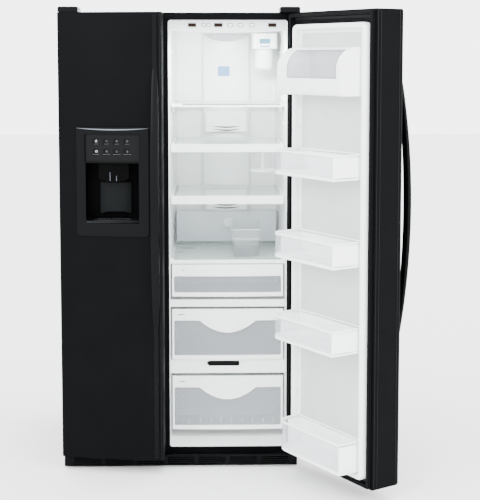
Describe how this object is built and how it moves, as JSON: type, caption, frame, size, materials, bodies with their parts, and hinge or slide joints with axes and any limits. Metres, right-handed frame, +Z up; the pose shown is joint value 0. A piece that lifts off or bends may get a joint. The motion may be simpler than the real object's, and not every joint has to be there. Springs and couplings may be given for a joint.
{
  "type": "side by side refrigerator",
  "caption": "Two-door refrigerator with side by side freezer and fresh food cabins, drawers, shelves, door bins and an ice and water dispenser.",
  "frame": {"origin": "on the floor, at the middle of the foot of the right front leveling leg (right as seen by someone facing the doors)", "axes": "+X to the right facing the doors, +Y to the back, +Z up; the doors face -Y"},
  "size_m": [1.2825, 1.2098, 1.762],
  "materials": {
    "door_black": "satin pebbled paint over foam",
    "black_paint": "satin pebbled",
    "galvanised": "matt",
    "foam": "foam",
    "white_plastic": "satin",
    "zinc_steel": "satin",
    "grey_plastic": "matt",
    "black_plastic": "satin",
    "black_steel": "satin",
    "aluminium": "bare",
    "clear_plastic": "gloss",
    "white_wire": "gloss",
    "white_paint": "satin",
    "shelf_glass": "gloss",
    "seal_rubber": "matt",
    "dark_grey_plastic": "satin"
  },
  "bodies": {
    "cabinet": {"case_shell": "black_paint", "back_panel": "galvanised", "insulation_panels": "foam", "fresh_liner": "white_plastic", "freezer_liner": "white_plastic", "front_frame": "black_paint", "base_frame": "galvanised", "leveling_legs": "zinc_steel", "base_grille": "black_plastic", "compressor": "black_steel", "condenser_coil": "black_steel", "drain_pan": "grey_plastic", "machine_cover": "galvanised", "water_valve": "grey_plastic", "door_hinges": "zinc_steel", "hinge_covers": "black_plastic", "evaporator_coil": "aluminium", "ice_maker": "grey_plastic", "ice_bucket": "clear_plastic", "freezer_shelves": "white_wire", "freezer_baskets": "white_plastic", "air_tower": "white_plastic", "control_panel": "white_plastic", "filter_housing": "white_plastic", "shelf_tracks": "white_paint", "shelf_frames": "white_plastic", "shelf_glasses": "shelf_glass", "drawer_covers": "white_plastic", "bottle_ring": "clear_plastic", "egg_tray": "clear_plastic"},
    "rear_rollers": {"rear_rollers": "grey_plastic"},
    "condenser_fan": {"condenser_fan": "grey_plastic"},
    "evaporator_fan": {"evaporator_fan": "grey_plastic"},
    "ice_auger": {"ice_auger": "zinc_steel"},
    "water_filter": {"water_filter": "white_plastic"},
    "temp_knob": {"temp_knob": "white_plastic"},
    "humidity_slider": {"humidity_slider": "grey_plastic"},
    "deli_drawer": {"deli_drawer_pan": "clear_plastic", "deli_drawer_front": "white_plastic"},
    "crisper_drawer": {"crisper_drawer_pan": "clear_plastic", "crisper_drawer_front": "white_plastic"},
    "lower_drawer": {"lower_drawer_pan": "clear_plastic", "lower_drawer_front": "white_plastic"},
    "freezer_door": {"freezer_door_panel": "door_black", "freezer_door_liner": "white_plastic", "freezer_door_gasket": "seal_rubber", "freezer_door_handle": "black_plastic", "dispenser_housing": "black_plastic", "dispenser_panel": "dark_grey_plastic", "drip_tray": "dark_grey_plastic", "freezer_door_bins": "clear_plastic"},
    "dispenser_paddle": {"dispenser_paddle": "dark_grey_plastic"},
    "fresh_door": {"fresh_door_panel": "door_black", "fresh_door_liner": "white_plastic", "fresh_door_gasket": "seal_rubber", "fresh_door_handle": "black_plastic", "dairy_box": "white_plastic", "door_bins": "clear_plastic", "bottom_bin": "clear_plastic"},
    "dairy_lid": {"dairy_lid": "clear_plastic"}
  },
  "joints": [
    {"name": "fresh_door_hinge", "type": "hinge", "parent": "cabinet", "child": "fresh_door", "pos_m": [0.034, -0.062, 0.9], "axis": [0, 0, 1], "range_deg": [-122, 7]},
    {"name": "freezer_door_hinge", "type": "hinge", "parent": "cabinet", "child": "freezer_door", "pos_m": [-0.842, -0.062, 0.9], "axis": [0, 0, -1], "range_deg": [0, 125]},
    {"name": "deli_drawer_slide", "type": "slide", "parent": "cabinet", "child": "deli_drawer", "axis": [0, -1, 0], "range_m": [0, 0.24]},
    {"name": "crisper_drawer_slide", "type": "slide", "parent": "cabinet", "child": "crisper_drawer", "axis": [0, -1, 0], "range_m": [0, 0.24]},
    {"name": "lower_drawer_slide", "type": "slide", "parent": "cabinet", "child": "lower_drawer", "axis": [0, -1, 0], "range_m": [0, 0.2]},
    {"name": "dairy_lid_hinge", "type": "hinge", "parent": "fresh_door", "child": "dairy_lid", "pos_m": [0.10224, -0.3401, 1.6065], "axis": [-0.5299, 0.848, 0], "range_deg": [0, 75]},
    {"name": "dispenser_paddle_hinge", "type": "hinge", "parent": "freezer_door", "child": "dispenser_paddle", "pos_m": [-0.649, -0.065, 1.104], "axis": [1, 0, 0], "range_deg": [0, 7], "stiffness_Nm_per_rad": 0.3},
    {"name": "temp_knob_turn", "type": "hinge", "parent": "cabinet", "child": "temp_knob", "pos_m": [-0.214, 0.535, 0.868], "axis": [0, 1, 0], "range_deg": [-120, 120]},
    {"name": "humidity_slide", "type": "slide", "parent": "cabinet", "child": "humidity_slider", "axis": [1, 0, 0], "range_m": [0, 0.11]},
    {"name": "water_filter_turn", "type": "hinge", "parent": "cabinet", "child": "water_filter", "pos_m": [-0.066, 0.473, 1.566], "axis": [0, 0, 1], "range_deg": [0, 90]},
    {"name": "condenser_fan_spin", "type": "hinge", "parent": "cabinet", "child": "condenser_fan", "pos_m": [-0.464, 0.543, 0.12], "axis": [1, 0, 0], "continuous": true},
    {"name": "evaporator_fan_spin", "type": "hinge", "parent": "cabinet", "child": "evaporator_fan", "pos_m": [-0.65, 0.539, 0.8], "axis": [0, 1, 0], "continuous": true},
    {"name": "ice_auger_turn", "type": "hinge", "parent": "cabinet", "child": "ice_auger", "pos_m": [-0.652, 0.323, 1.345], "axis": [0, 1, 0], "continuous": true},
    {"name": "rear_roller_spin", "type": "hinge", "parent": "cabinet", "child": "rear_rollers", "pos_m": [-0.404, 0.623, 0.022], "axis": [1, 0, 0], "continuous": true}
  ]
}
